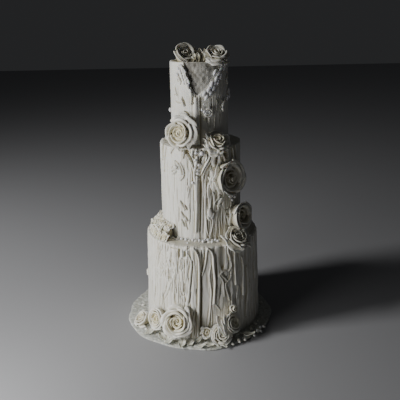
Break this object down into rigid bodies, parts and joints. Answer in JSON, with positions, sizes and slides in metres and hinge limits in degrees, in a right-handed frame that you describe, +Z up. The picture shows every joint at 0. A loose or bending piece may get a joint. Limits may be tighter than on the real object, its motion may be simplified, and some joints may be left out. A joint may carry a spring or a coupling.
{
  "type": "three-tier cake",
  "caption": "Tall stacked round cake in ivory buttercream, its fluted and dripped sides dressed like a gown with a V neckline, piped roses, leaves and small petals.",
  "frame": {"origin": "point of the flat underside that lies on the tiers' common axis", "axes": "+Z up along the tiers' axis, -Y towards the front with the open neckline, +X to the right as seen from the front"},
  "size_m": [0.2739, 0.2749, 0.5044],
  "materials": {
    "buttercream": "smoothed and combed ivory buttercream, soft satin",
    "rose_cream": "piped ivory buttercream, warmer in the folds",
    "leaf_cream": "piped pale sage ivory buttercream",
    "spread_cream": "stippled buttercream spread thinly"
  },
  "bodies": {
    "root": {"bottom_tier": "buttercream", "middle_tier": "buttercream", "top_tier": "buttercream", "foot_icing": "spread_cream", "ledge_blossoms_left": "rose_cream", "ledge_blossoms_back": "rose_cream", "top_rose_left": "rose_cream", "top_rose_right": "rose_cream", "waist_rose": "rose_cream", "waist_ruffle": "rose_cream", "side_rose_upper": "rose_cream", "side_rose_lower": "rose_cream", "ledge_rose": "rose_cream", "ledge_rose_back": "rose_cream", "foot_rose_far_left": "rose_cream", "foot_rose_left": "rose_cream", "foot_rose_large": "rose_cream", "foot_rose_small": "rose_cream", "foot_rose_front": "rose_cream", "foot_rose_right": "rose_cream", "foot_bud": "rose_cream", "foot_rose_back_left": "rose_cream", "foot_rose_back": "rose_cream", "foot_rose_back_right": "rose_cream", "foot_leaf_far_left": "leaf_cream", "foot_leaf_left": "leaf_cream", "foot_leaf_centre": "leaf_cream", "foot_leaf_front": "leaf_cream", "foot_leaf_middle": "leaf_cream", "foot_leaf_right": "leaf_cream", "foot_leaf_back_right": "leaf_cream", "foot_leaf_back_left": "leaf_cream", "top_leaf_front": "leaf_cream", "top_leaf_middle": "leaf_cream", "top_leaf_back": "leaf_cream"}
  },
  "joints": []
}
